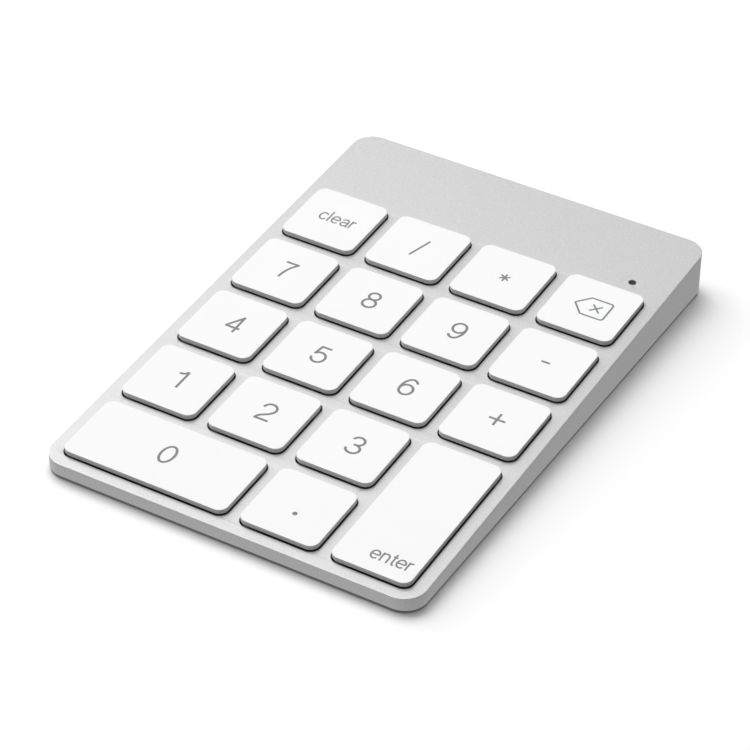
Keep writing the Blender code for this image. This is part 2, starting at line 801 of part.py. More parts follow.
def make_power_switch():
    """Slide switch on the board, and the knob that shows in the rear wall."""
    front, rear = 51.0 * MM, 54.6 * MM
    half_width, top = 3.8 * MM, PORT_Z + 1.5 * MM
    low = BOARD_TOP + PART_GAP
    body = add_object(
        "power_switch_body",
        box_mesh((SWITCH_X - half_width, front, low), (SWITCH_X + half_width, rear, top)),
        PARTS,
        STEEL,
    )
    slot_half = 1.8 * MM
    slot = box_mesh(
        (SWITCH_X - slot_half, rear - 1.2 * MM, PORT_Z - 0.6 * MM),
        (SWITCH_X + slot_half, rear + MM, PORT_Z + 0.6 * MM),
    )
    combine(body, "DIFFERENCE", slot)

    rest_x = SWITCH_X - SWITCH_TRAVEL / 2
    head = box_mesh(
        (rest_x - KNOB_WIDTH / 2, rear + 0.3 * MM, PORT_Z - KNOB_HEIGHT / 2),
        (rest_x + KNOB_WIDTH / 2, CONTROL_FACE, PORT_Z + KNOB_HEIGHT / 2),
    )
    knob = add_object("power_switch_knob", head, PARTS, DARK_PLASTIC)
    stem = box_mesh(
        (rest_x - 0.6 * MM, rear - 0.9 * MM, PORT_Z - 0.45 * MM),
        (rest_x + 0.6 * MM, rear + 0.6 * MM, PORT_Z + 0.45 * MM),
    )
    combine(knob, "UNION", stem)
    grooves = [
        box_mesh(
            (rest_x + place - 0.12 * MM, CONTROL_FACE - 0.2 * MM, PORT_Z - MM),
            (rest_x + place + 0.12 * MM, CONTROL_FACE + MM, PORT_Z + MM),
        )
        for place in (-0.6 * MM, 0.0, 0.6 * MM)
    ]
    combine(knob, "DIFFERENCE", merged(grooves))


def make_pairing_button():
    """Push button in the rear wall and the tact switch behind it."""
    flange_rear = BODY_DEPTH / 2 - WALL - 0.1 * MM
    flange_front = flange_rear - 0.7 * MM
    cap = cylinder_mesh(BUTTON_RADIUS, flange_front, CONTROL_FACE)
    button = add_object("pairing_button", turned_to_y(cap, BUTTON_X, PORT_Z), PARTS, DARK_PLASTIC)
    flange = cylinder_mesh(BUTTON_RADIUS + 0.5 * MM, flange_front - 0.01 * MM, flange_rear)
    combine(button, "UNION", turned_to_y(flange, BUTTON_X, PORT_Z))
    shade(button)

    half, rear = 2.0 * MM, flange_front - 0.9 * MM
    body = add_object(
        "pairing_switch",
        box_mesh(
            (BUTTON_X - half, rear - 3.0 * MM, BOARD_TOP + PART_GAP),
            (BUTTON_X + half, rear, PORT_Z + 1.5 * MM),
        ),
        PARTS,
        STEEL,
    )
    plunger_tip = flange_front - BUTTON_TRAVEL - 0.1 * MM
    plunger = cylinder_mesh(0.8 * MM, rear - 0.2 * MM, plunger_tip, segments=12)
    combine(body, "UNION", turned_to_y(plunger, BUTTON_X, PORT_Z))


def make_status_light():
    """Light on the board's tab and the light pipe that carries it to the deck."""
    place = DECK.matrix_world @ Vector((LED_X, LED_DECK_Y, 0.0))
    half = 0.8 * MM
    led_low = BOARD_TOP + PART_GAP
    led = box_mesh(
        (LED_X - half, place.y - half / 2, led_low), (LED_X + half, place.y + half / 2, led_low + 0.6 * MM)
    )
    add_object("status_led", led, PARTS, LED_RESIN)
    lens = on_deck(
        add_object("led_lens", cylinder_mesh(LENS_RADIUS, -4.5 * MM, -0.35 * MM), PARTS, LENS_SMOKE),
        LED_X,
        LED_DECK_Y,
    )
    flange = cylinder_mesh(LENS_RADIUS + 0.5 * MM, -WEB - 0.6 * MM, -WEB - PART_GAP)
    flange.transform(Matrix.Translation((LED_X, LED_DECK_Y, 0.0)))
    combine(lens, "UNION", flange, placed_on_deck=True)
    shade(lens)


clear_scene()
PARTS = new_collection("numeric_keypad")
CUTTERS = new_collection("cutters")

DECK = bpy.data.objects.new("deck", None)
PARTS.objects.link(DECK)
DECK.location = (
    0.0,
    GRID_SETBACK * math.cos(TILT) - BODY_DEPTH / 2,
    FRONT_HEIGHT + GRID_SETBACK * math.sin(TILT),
)
DECK.rotation_euler = (TILT, 0.0, 0.0)
bpy.context.view_layer.update()

ALUMINIUM = new_material("anodised_aluminium", (0.78, 0.78, 0.79), 0.38, 1.0)
CAP_PLASTIC = new_material("white_keycap_plastic", (0.9, 0.9, 0.9), 0.45)
COVER_PLASTIC = new_material("light_grey_plastic", (0.55, 0.55, 0.56), 0.55)
DARK_PLASTIC = new_material("dark_grey_plastic", (0.08, 0.08, 0.085), 0.5)
LINK_PLASTIC = new_material("natural_acetal", (0.8, 0.8, 0.76), 0.5)
RUBBER = new_material("grey_rubber", (0.12, 0.12, 0.125), 0.85)
STEEL = new_material("plated_steel", (0.6, 0.6, 0.6), 0.35, 1.0)
FILM = new_material("membrane_film", (0.5, 0.6, 0.5), 0.4)
SILICONE = new_material("silicone", (0.75, 0.75, 0.75), 0.6)
BOARD_GREEN = new_material("circuit_board", (0.02, 0.18, 0.08), 0.45)
FOIL = new_material("battery_foil", (0.65, 0.65, 0.66), 0.4, 0.6)
LED_RESIN = new_material("led_resin", (0.9, 0.9, 0.8), 0.3)
LENS_SMOKE = new_material("smoked_lens", (0.05, 0.05, 0.05), 0.15)

make_top_casing()
make_bottom_cover()
make_feet()
make_screws()
make_keycaps()
make_scissor_frames()
for long_key in filter(is_long, KEYS):
    make_stabiliser(long_key)
make_key_plate()
make_membrane()
make_dome_sheet()
make_main_board()
make_battery()
make_usb_port()
make_power_switch()
make_pairing_button()
make_status_light()
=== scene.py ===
"""Looks of the numeric keypad: fine surfaces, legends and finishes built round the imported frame."""

import json
import math

import bmesh
import bpy
from mathutils import Matrix, Quaternion, Vector
from mathutils.geometry import tessellate_polygon


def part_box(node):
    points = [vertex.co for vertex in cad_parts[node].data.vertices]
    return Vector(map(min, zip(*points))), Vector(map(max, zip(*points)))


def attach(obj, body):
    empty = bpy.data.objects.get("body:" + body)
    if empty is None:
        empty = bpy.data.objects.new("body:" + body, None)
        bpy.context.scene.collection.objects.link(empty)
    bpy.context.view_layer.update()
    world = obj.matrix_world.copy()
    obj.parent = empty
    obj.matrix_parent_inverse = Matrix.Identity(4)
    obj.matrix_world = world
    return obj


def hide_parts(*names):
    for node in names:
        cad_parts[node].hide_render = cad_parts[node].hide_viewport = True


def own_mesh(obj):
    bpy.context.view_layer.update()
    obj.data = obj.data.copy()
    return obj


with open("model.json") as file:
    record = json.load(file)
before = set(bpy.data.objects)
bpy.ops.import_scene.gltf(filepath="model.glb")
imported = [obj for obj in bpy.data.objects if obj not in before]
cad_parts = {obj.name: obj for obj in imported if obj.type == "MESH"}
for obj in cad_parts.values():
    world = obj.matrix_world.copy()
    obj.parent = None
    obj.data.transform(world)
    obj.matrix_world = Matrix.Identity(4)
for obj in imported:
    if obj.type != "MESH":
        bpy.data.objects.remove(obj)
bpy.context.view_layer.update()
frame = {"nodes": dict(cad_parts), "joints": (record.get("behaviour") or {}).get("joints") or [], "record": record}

MM = 0.001

# Camera: the angle, distance and framing of a three-quarter view from the front right
CAMERA_AZIMUTH = 29.794
CAMERA_ELEVATION = 37.263
CAMERA_ROLL = 1.009
CAMERA_DISTANCE = 0.59198
CAMERA_TARGET = (1.405 * MM, -6.935 * MM, 5.0 * MM)
CAMERA_LENS = 150.95

# Casing
BODY_WIDTH = 79.0 * MM
BODY_DEPTH = 116.6 * MM
BODY_CORNER = 4.5 * MM
RIM_HEIGHT = 0.7 * MM
FRONT_HEIGHT = 3.4 * MM
REAR_HEIGHT = 9.67 * MM
WALL = 1.6 * MM
WEB = 1.0 * MM
EDGE_ROUND = 0.15 * MM
RIM_ROUND = 0.08 * MM
WELL_ROUND = 0.05 * MM
TILT = math.atan2(REAR_HEIGHT - FRONT_HEIGHT, BODY_DEPTH)
GRID_SETBACK = 48.8 * MM

# Keys
PITCH = 19.0 * MM
CAP_GAP = 2.9 * MM
CAP_CORNER = 1.85 * MM
CAP_TOP = 1.15 * MM
CAP_BOTTOM = 0.15 * MM
CAP_UNDERSIDE = 0.4 * MM
CAP_SKIRT = 0.8 * MM
CAP_ROUND = 0.1 * MM
CAP_LOWER_ROUND = 0.08 * MM
WELL_GAP = 0.27 * MM
KEY_TRAVEL = 1.2 * MM
BOSS_RADIUS = 1.5 * MM
BOSS_DROP = 0.3 * MM
# Faces past this lean take the darker skirt material: painted shade on the caps' sides.
SKIRT_LEAN = 0.5  # faces of a cap that lean further than this from the deck are its skirt

# Inner half of each scissor: width, depth and corner of its outer and inner edges
FRAME_OUTER = (10.2 * MM, 8.2 * MM, 0.5 * MM)
FRAME_INNER = (8.6 * MM, 6.6 * MM, 0.3 * MM)
FRAME_HALF = 0.22 * MM
FRAME_REST = -1.15 * MM
FRAME_PLAY = 0.15 * MM

# Rubber domes under the caps, in the deck's own heights
FILM_BOTTOM = -1.65 * MM
FILM_TOP = -1.53 * MM
FILM_SETBACK = 0.01 * MM
DOME_PAD = 7.0 * MM
DOME_PAD_CORNER = 1.0 * MM
DOME_RUNNER = 2.0 * MM
RUNNER_OVERLAP = 0.1 * MM
DOME_WALL = 0.3 * MM
DOME_ROOF = 0.2  # in millimetres, how far the hollow stays below the outside of the bell
DOME_BELL = ((2.7, -1.53), (2.62, -1.4), (2.3, -0.95), (1.8, -0.35), (1.5, -0.04), (1.4, 0.06))
DOME_STEPS = 32

# Status light
LED_X = 31.45 * MM
LED_Y = 50.2 * MM
LED_HOLE = 0.8 * MM
LENS_RADIUS = 0.74 * MM
LENS_TOP = -0.35 * MM
LENS_BOTTOM = -4.4 * MM
LENS_CROWN = ((0.0, 0.08), (0.1, 0.03), (0.3, 0.008), (0.5, 0.0))  # inset, depth below the top

# Legends: ink on the caps
INK_HEIGHT = 0.006 * MM
INK_DEPTH = 0.02 * MM
DIGIT_HEIGHT = 5.0 * MM
DIGIT_STRETCH = 1.1
DIGIT_MIDDLE = (0.29, 0.5)  # middle of a digit, in units of its height
DIGIT_X = 0.42 * MM
DIGIT_Y = 0.25 * MM
DIGIT_STROKE = 0.52 * MM
WORD_STROKE = 0.36 * MM

# Openings in the rear wall: width, height and corner, without the knob's travel
PORT_OPENING = (9.24 * MM, 3.46 * MM, 1.6 * MM)
KNOB_OPENING = (2.7 * MM, 1.9 * MM, 0.15 * MM)
BUTTON_OPENING = 1.55 * MM
OPENING_MARGIN = 0.5 * MM

# Charging port, its tongue and the pairing button
PORT_WALL = 0.3 * MM
PORT_DEPTH = 6.2 * MM
PORT_ROUND = 0.12 * MM
PORT_LIP = 0.05 * MM
TONGUE = (6.7 * MM, 0.7 * MM, 0.2 * MM)
TONGUE_ROOT = 6.4 * MM
TONGUE_TIP = 1.2 * MM
TONGUE_CHAMFER = (0.1 * MM, 0.05 * MM)
BUTTON_RADIUS = 1.4 * MM
BUTTON_FLANGE = (0.5 * MM, 0.7 * MM)
BUTTON_ROUND = 0.2 * MM
BUTTON_DISH = ((0.9, 0.06), (1.2, 0.1))  # inset, depth below the face

# Underside
COVER_GAP = 0.15 * MM
COVER_THICKNESS = 0.55 * MM
COVER_ROUND = (0.12 * MM, 0.05 * MM)
RECESS_RADIUS = 4.1 * MM
RECESS_TOP = 0.7 * MM
FOOT_ROUND = (0.18 * MM, 0.05 * MM)
SEAL_PROFILE = (  # inset and height, round the section
    (0.4, 0.66), (0.4, 0.5), (0.12, 0.48), (0.12, 0.12), (0.2, 0.06), (1.45, 0.06), (1.45, 0.66),
)
FEET = ("foot_front_left", "foot_front_right", "foot_rear_left", "foot_rear_right")

# Studio. A light is azimuth, elevation, distance, width, height and radiance
FLOOR_HEIGHT = -0.02 * MM
FLOOR_SIZE = 6.0
KEY_LIGHT = (-150.0, 66.0, 1.3, 0.85, 0.85, 3.5)
OVERHEAD_LIGHT = (-115.0, 72.0, 1.3, 0.9, 0.9, 0.7)
FILL_LIGHT = (90.0, 50.0, 1.3, 1.2, 1.2, 0.45)
EDGE_LIGHTS = ((-33.0, 44.0, 1.3, 0.35, 0.35, 3.0), (138.0, 23.0, 1.3, 0.35, 0.35, 4.0))
# (lean, grey): how bright the surroundings are along their axis, and the glow round its middle
SURROUNDINGS_AXIS = (90.0, 67.0)
SURROUNDINGS = ((-0.6, 0.65), (-0.1, 0.59), (0.03, 0.05), (1.0, 0.2))
GLOW_FROM = (-100.0, 42.0)
GLOW = ((0.57, 0.0), (0.81, 0.48), (0.93, 1.9), (1.0, 2.4))

ARC_STEPS = 12

# name: column, row from the rear, columns wide, rows deep
KEYS = {
    "clear": (0, 0, 1, 1),
    "divide": (1, 0, 1, 1),
    "multiply": (2, 0, 1, 1),
    "backspace": (3, 0, 1, 1),
    "7": (0, 1, 1, 1),
    "8": (1, 1, 1, 1),
    "9": (2, 1, 1, 1),
    "minus": (3, 1, 1, 1),
    "4": (0, 2, 1, 1),
    "5": (1, 2, 1, 1),
    "6": (2, 2, 1, 1),
    "plus": (3, 2, 1, 1),
    "1": (0, 3, 1, 1),
    "2": (1, 3, 1, 1),
    "3": (2, 3, 1, 1),
    "enter": (3, 3, 1, 2),
    "0": (0, 4, 2, 1),
    "decimal": (2, 4, 1, 1),
}

DECK = Matrix.Translation((
    0.0,
    GRID_SETBACK * math.cos(TILT) - BODY_DEPTH / 2,
    FRONT_HEIGHT + GRID_SETBACK * math.sin(TILT),
)) @ Matrix.Rotation(TILT, 4, "X")


# ---------------------------------------------------------------- materials


class Graph:
    """Short names for building a material's nodes."""

    def __init__(self, name):
        self.material = bpy.data.materials.new(name)
        self.material.use_nodes = True
        self.nodes = self.material.node_tree.nodes
        self.links = self.material.node_tree.links
        self.shader = self.nodes["Principled BSDF"]
        self.coords = self.add("ShaderNodeTexCoord").outputs["Object"]

    def add(self, kind, **values):
        node = self.nodes.new(kind)
        for key, value in values.items():
            if hasattr(node, key):
                setattr(node, key, value)
            else:
                node.inputs[key.replace("_", " ")].default_value = value
        return node

    def noise(self, scale, detail=2.0, roughness=0.5, stretch=(1.0, 1.0, 1.0)):
        mapping = self.add("ShaderNodeMapping", Scale=stretch)
        self.links.new(self.coords, mapping.inputs["Vector"])
        node = self.add("ShaderNodeTexNoise", Scale=scale, Detail=detail, Roughness=roughness)
        self.links.new(mapping.outputs["Vector"], node.inputs["Vector"])
        return node.outputs["Fac"]

    def ramp(self, factor, *stops):
        node = self.add("ShaderNodeValToRGB")
        elements = node.color_ramp.elements
        for element, (place, colour) in zip(elements, stops):
            element.position = place
            element.color = (*colour, 1.0)
        self.links.new(factor, node.inputs["Fac"])
        return node.outputs["Color"]

    def spread(self, factor, low, high):
        node = self.add("ShaderNodeMapRange", To_Min=low, To_Max=high)
        self.links.new(factor, node.inputs["Value"])
        return node.outputs["Result"]

    def bump(self, height, strength, distance):
        node = self.add("ShaderNodeBump", Strength=strength, Distance=distance)
        self.links.new(height, node.inputs["Height"])
        return node.outputs["Normal"]

    def set(self, **values):
        for key, value in values.items():
            socket = self.shader.inputs[key.replace("_", " ")]
            if isinstance(value, bpy.types.NodeSocket):
                self.links.new(value, socket)
            else:
                socket.default_value = value
        return self.material


def shades(colour, spread):
    """A little darker and a little lighter than a colour."""
    return [tuple(min(1.0, c * (1 + side * spread)) for c in colour) for side in (-1, 1)]


def moulded(name, colour, roughness, grain, relief, spread=0.03, **extra):
    """Plastic or rubber with a fine moulded texture and a slight change of tone."""
    graph = Graph(name)
    dark, light = shades(colour, spread)
    tone = graph.ramp(graph.noise(90.0, 3.0), (0.35, dark), (0.65, light))
    fine = graph.noise(grain, 3.0, 0.6)
    return graph.set(
        Base_Color=tone,
        Roughness=graph.spread(fine, roughness - 0.05, roughness + 0.05),
        Normal=graph.bump(fine, 0.35, relief),
        **extra,
    )


def metal(
    name, colour, roughness, grain, relief, stretch=(1.0, 1.0, 1.0), spread=0.02, metallic=1.0
):
    """Bare or anodised metal: grain is the count of grains per metre."""
    graph = Graph(name)
    dark, light = shades(colour, spread)
    fine = graph.noise(grain, 2.0, 0.6, stretch)
    tone = graph.ramp(fine, (0.3, dark), (0.7, light))
    broad = graph.noise(60.0, 2.0)
    return graph.set(
        Base_Color=tone,
        Metallic=metallic,
        Roughness=graph.spread(broad, roughness - 0.03, roughness + 0.03),
        Normal=graph.bump(fine, 0.3, relief),
    )


ALUMINIUM = metal(
    "anodised_aluminium", (0.675, 0.675, 0.68), 0.42, 3600.0, 0.014 * MM, spread=0.08, metallic=0.55
)
CAP_PLASTIC = moulded("white_keycap_plastic", (0.86, 0.86, 0.865), 0.5, 7000.0, 0.004 * MM, 0.006)
# Painted shade: the white keycap plastic darkened for the caps' sides, which face away from the light.
SKIRT_PAINTED_SHADE = moulded("keycap_skirt_painted_shade", (0.66, 0.66, 0.67), 0.6, 7000.0, 0.004 * MM, 0.01)
INK = moulded("legend_ink", (0.2, 0.2, 0.205), 0.55, 5000.0, 0.002 * MM)
COVER_PLASTIC = moulded("cover_plastic", (0.42, 0.42, 0.43), 0.55, 3500.0, 0.02 * MM)
RUBBER = moulded("foot_rubber", (0.06, 0.06, 0.063), 0.8, 3000.0, 0.02 * MM)
# Dark grey of the band under the rim: partly its own colour, partly painted shade standing for the shadow under
# the casing.
SEAL_RUBBER_AND_RIM_SHADE = moulded("seal_rubber_and_under_rim_shade", (0.26, 0.26, 0.27), 0.7, 3000.0, 0.02 * MM)
CONTROL_PLASTIC = moulded("control_plastic", (0.07, 0.07, 0.075), 0.45, 6000.0, 0.006 * MM)
ACETAL = moulded("scissor_acetal", (0.72, 0.72, 0.68), 0.42, 3000.0, 0.005 * MM)
# Dark silicone and film: partly their own colour, partly painted shade, darkened so the gaps round the caps read
# black.
SILICONE = moulded("dome_silicone", (0.07, 0.07, 0.073), 0.5, 2500.0, 0.01 * MM)
FILM = moulded("membrane_film", (0.1, 0.1, 0.105), 0.3, 1500.0, 0.003 * MM)
BOARD = moulded("circuit_board", (0.012, 0.12, 0.05), 0.35, 2500.0, 0.01 * MM, 0.12)
RESIN = moulded("led_resin", (0.85, 0.83, 0.6), 0.3, 2500.0, 0.004 * MM)
CHIP = moulded("chip_epoxy", (0.025, 0.025, 0.027), 0.5, 6000.0, 0.01 * MM)
LENS = moulded("lens_smoke", (0.012, 0.012, 0.013), 0.12, 1500.0, 0.001 * MM, Coat_Weight=1.0)
# Near-black plate: a black coat in part, and in part painted shade, darkened so the gaps round the caps read
# black.
SHEET_STEEL = metal(
    "sheet_steel_black_coat_and_gap_shade", (0.09, 0.09, 0.095), 0.4, 900.0, 0.01 * MM, (1.0, 12.0, 1.0)
)
WIRE_STEEL = metal("spring_wire", (0.58, 0.57, 0.56), 0.28, 2500.0, 0.003 * MM, (0.1, 0.1, 1.0))
SCREW_STEEL = metal("zinc_screw", (0.55, 0.56, 0.58), 0.32, 3500.0, 0.005 * MM)
NICKEL = metal("nickel_plate", (0.66, 0.64, 0.6), 0.25, 3000.0, 0.003 * MM)
FOIL = metal("battery_foil", (0.6, 0.6, 0.61), 0.38, 420.0, 0.03 * MM, spread=0.05)


# ---------------------------------------------------------------- mesh helpers


def outline(width, depth, radius, x=0.0, y=0.0, steps=ARC_STEPS):
    """Corners of a round-cornered rectangle, anticlockwise, each with its outward normal."""
    points = []
    for quarter, (sx, sy) in enumerate(((1, 1), (-1, 1), (-1, -1), (1, -1))):
        centre = Vector((x + sx * (width / 2 - radius), y + sy * (depth / 2 - radius)))
        for step in range(steps + 1):
            angle = (quarter + step / steps) * math.pi / 2
            normal = Vector((math.cos(angle), math.sin(angle)))
            points.append((centre + radius * normal, normal))
    return points


def circle(radius, x=0.0, y=0.0, count=40):
    """Outline of a circle; count is the number of its sides."""
    return outline(2 * radius, 2 * radius, radius, x, y, count // 4)


def inset(points, distance):
    return [(point - normal * distance, normal) for point, normal in points]


def ring(bm, points, height):
    """Vertices along an outline. height is a number, or gives z for a point."""
    level = height if callable(height) else lambda point: height
    return [bm.verts.new((point.x, point.y, level(point))) for point, _ in points]


def wall(bm, lower, upper):
    """Quads between two rings of equal length."""
    count = len(lower)
    for i in range(count):
        j = (i + 1) % count
        bm.faces.new((lower[i], lower[j], upper[j], upper[i])).smooth = True


def skin(bm, rings):
    for lower, upper in zip(rings, rings[1:]):
        wall(bm, lower, upper)


def fill(bm, *loops):
    """Flat face inside the first ring and outside the others."""
    verts = [vert for loop in loops for vert in loop]
    if len(loops) == 1:
        bm.faces.new(verts)
        return
    for triangle in tessellate_polygon([[vert.co for vert in loop] for loop in loops]):
        bm.faces.new([verts[i] for i in triangle])


def rounding(radius, steps=4):
    """(inward, downward) offsets round a quarter turn, from the side to the top."""
    for step in range(steps + 1):
        angle = step / steps * math.pi / 2
        yield radius * (1 - math.cos(angle)), radius * (1 - math.sin(angle))


def plain_object(name, bm):
    """Turns bm into an object in the scene."""
    bmesh.ops.remove_doubles(bm, verts=bm.verts, dist=1e-8)
    bmesh.ops.recalc_face_normals(bm, faces=bm.faces)
    mesh = bpy.data.meshes.new(name)
    bm.to_mesh(mesh)
    bm.free()
    obj = bpy.data.objects.new(name, mesh)
    bpy.context.scene.collection.objects.link(obj)
    return obj


def applied(obj):
    """Replaces the mesh of obj with the result of its modifiers."""
    bpy.context.view_layer.update()
    graph = bpy.context.evaluated_depsgraph_get()
    mesh = bpy.data.meshes.new_from_object(obj.evaluated_get(graph))
    obj.modifiers.clear()
    obj.data = mesh
    return obj


def smoothed(obj, sharp=40.0):
    """Smooth shading of the walls, with crisp edges and undisturbed flat faces."""
    obj.data.set_sharp_from_angle(angle=math.radians(sharp))
    weigh = obj.modifiers.new("flat faces", "WEIGHTED_NORMAL")
    weigh.keep_sharp = True
    return applied(obj)


def finished(name, bm, material, body, sharp=40.0, cutter=None):
    """Turns bm into a smooth piece that rides on a body, after taking cutter out of it."""
    obj = plain_object(name, bm)
    if cutter:
        cut = obj.modifiers.new("openings", "BOOLEAN")
        cut.operation = "DIFFERENCE"
        cut.object = cutter
        applied(obj)
        bpy.data.objects.remove(cutter)
    smoothed(obj, sharp)
    obj.data.materials.clear()
    obj.data.materials.append(material)
    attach(obj, body)
    return obj


def solid(bm, shape, levels):
    """Closed solid from an outline: levels are (inset, height) from the bottom to the top."""
    rings = [ring(bm, inset(shape, distance), height) for distance, height in levels]
    skin(bm, rings)
    fill(bm, rings[0])
    fill(bm, rings[-1])


def rounded_levels(low, high, low_round, high_round, steps=4):
    """(inset, height) levels of a solid with a rounded lower and upper edge."""
    lower = [(i, low + d) for i, d in reversed(list(rounding(low_round, steps)))]
    upper = [(i, high - d) for i, d in rounding(high_round, steps)]
    return lower + upper


def key_place(name):
    """Middle, width and depth of a key's cap, in the deck's plane."""
    column, row, wide, deep = KEYS[name]
    x = (column + wide / 2 - 2) * PITCH
    y = (2.5 - row - deep / 2) * PITCH
    return x, y, wide * PITCH - CAP_GAP, deep * PITCH - CAP_GAP


# ---------------------------------------------------------------- casing


def deck_z(point):
    """Height of the sloping top face over a point of the plan."""
    return FRONT_HEIGHT + (point.y + BODY_DEPTH / 2) * math.tan(TILT)


def well_outlines():
    """Outlines of the openings in the top face: a well for each key, and the status light's hole."""
    for name in KEYS:
        x, y, width, depth = key_place(name)
        grown = 2 * WELL_GAP
        yield outline(width + grown, depth + grown, CAP_CORNER + WELL_GAP, x, y, 10)
    yield circle(LED_HOLE, LED_X, LED_Y)


def deck_ring(bm, points, height):
    return [bm.verts.new(DECK @ Vector((point.x, point.y, height))) for point, _ in points]


def well_rings(bm, points):
    """Rings of a well from the top face down to the underside, with a softened upper edge."""
    edge = [(WELL_ROUND - i, -d) for i, d in rounding(WELL_ROUND, 3)]
    rings = [deck_ring(bm, inset(points, i - WELL_ROUND), down) for i, down in reversed(edge)]
    rings.append(deck_ring(bm, points, -WEB))
    return rings


def make_casing():
    """Aluminium wedge, hollow from below, with its wells and rear openings cut."""
    bm = bmesh.new()
    plan = outline(BODY_WIDTH, BODY_DEPTH, BODY_CORNER)
    inner = outline(BODY_WIDTH - 2 * WALL, BODY_DEPTH - 2 * WALL, BODY_CORNER - WALL)
    rings = [ring(bm, inner, lambda p: deck_z(p) - WEB / math.cos(TILT))]
    rings.append(ring(bm, inner, RIM_HEIGHT))
    for inward, up in reversed(list(rounding(RIM_ROUND, 2))):
        rings.append(ring(bm, inset(plan, inward), RIM_HEIGHT + up))
    for inward, down in rounding(EDGE_ROUND):
        rings.append(ring(bm, inset(plan, inward), lambda p, drop=down: deck_z(p) - drop))
    skin(bm, rings)
    wells = [well_rings(bm, points) for points in well_outlines()]
    for well in wells:
        skin(bm, well)
    fill(bm, rings[-1], *[well[0] for well in wells])
    fill(bm, rings[0], *[well[-1] for well in wells])
    casing = finished("casing", bm, ALUMINIUM, "casing", cutter=rear_openings())
    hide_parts("top_casing")


def upright(x, z):
    """Turns a shape drawn flat so that it stands at x, z and its height runs to the rear."""
    return Matrix.Translation((x, 0.0, z)) @ Matrix.Rotation(-math.pi / 2, 4, "X")


def middle(node):
    """Middle of a CAD node's box."""
    low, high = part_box(node)
    return (low + high) / 2


def rear_openings():
    """Cutter for the charging port, the switch knob and the pairing button."""
    port, knob, button = (middle(n) for n in ("usb_port", "power_switch_knob", "pairing_button"))
    travel = next(j for j in frame["joints"] if j["name"] == "power_switch_slide")["range_m"][1]
    width, height, corner = KNOB_OPENING
    openings = (
        (outline(*PORT_OPENING), port.x, port.z),
        (outline(width + travel, height, corner), knob.x + travel / 2, knob.z),
        (circle(BUTTON_OPENING), button.x, button.z),
    )
    bm = bmesh.new()
    for shape, x, z in openings:
        before = set(bm.verts)
        solid(bm, shape, [(0.0, BODY_DEPTH / 2 - WALL - OPENING_MARGIN), (0.0, BODY_DEPTH / 2 + MM)])
        new = [vert for vert in bm.verts if vert not in before]
        bmesh.ops.transform(bm, matrix=upright(x, z), verts=new)
    return plain_object("rear_openings", bm)


# ---------------------------------------------------------------- keys


def make_cap(name):
    """Hollow cap with its skirt painted darker as shade, and a boss underneath that presses the dome."""
    x, y, width, depth = key_place(name)
    shape = outline(width, depth, CAP_CORNER, x, y)
    bm = bmesh.new()
    pocket = inset(shape, CAP_SKIRT)
    rings = [ring(bm, pocket, CAP_UNDERSIDE), ring(bm, pocket, CAP_BOTTOM)]
    for inward, up in reversed(list(rounding(CAP_LOWER_ROUND, 2))):
        rings.append(ring(bm, inset(shape, inward), CAP_BOTTOM + up))
    for inward, down in rounding(CAP_ROUND, 5):
        rings.append(ring(bm, inset(shape, inward), CAP_TOP - down))
    skin(bm, rings)
    fill(bm, rings[0])
    fill(bm, rings[-1])
    boss = circle(BOSS_RADIUS, x, y, 24)
    solid(bm, boss, [(0.0, CAP_UNDERSIDE - BOSS_DROP), (0.0, CAP_UNDERSIDE + 0.05 * MM)])
    bmesh.ops.transform(bm, matrix=DECK, verts=bm.verts)
    cap = finished("cap_" + name, bm, CAP_PLASTIC, "key_" + name)
    # The sides get the painted-shade copy of the plastic; the top keeps the white.
    cap.data.materials.append(SKIRT_PAINTED_SHADE)
    upward = DECK.to_3x3() @ Vector((0.0, 0.0, 1.0))
    for face in cap.data.polygons:
        face.material_index = int(face.normal.dot(upward) < SKIRT_LEAN)
    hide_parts("keycap_" + name)


def flattens(piece):
    """Gives a soft or folding piece a mesh of its own."""
    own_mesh(piece)


def make_inner_frame(name):
    """Inner half of a key's scissor, leaning so that it crosses the outer one."""
    x, y, width, depth = key_place(name)
    turn = -math.pi / 2 if depth > width else 0.0
    bm = bmesh.new()
    outer = outline(*FRAME_OUTER, steps=4)
    inner = outline(*FRAME_INNER, steps=4)
    low, high = -FRAME_HALF, FRAME_HALF
    rings = [ring(bm, outer, low), ring(bm, outer, high), ring(bm, inner, high), ring(bm, inner, low)]
    skin(bm, rings + rings[:1])
    lean = math.asin((KEY_TRAVEL - FRAME_PLAY) / FRAME_OUTER[1])
    place = (
        DECK
        @ Matrix.Translation((x, y, FRAME_REST + KEY_TRAVEL / 2))
        @ Matrix.Rotation(turn, 4, "Z")
        @ Matrix.Rotation(lean, 4, "X")
    )
    bmesh.ops.transform(bm, matrix=place, verts=bm.verts)
    piece = finished("scissor_inner_" + name, bm, ACETAL, "casing")
    flattens(piece)


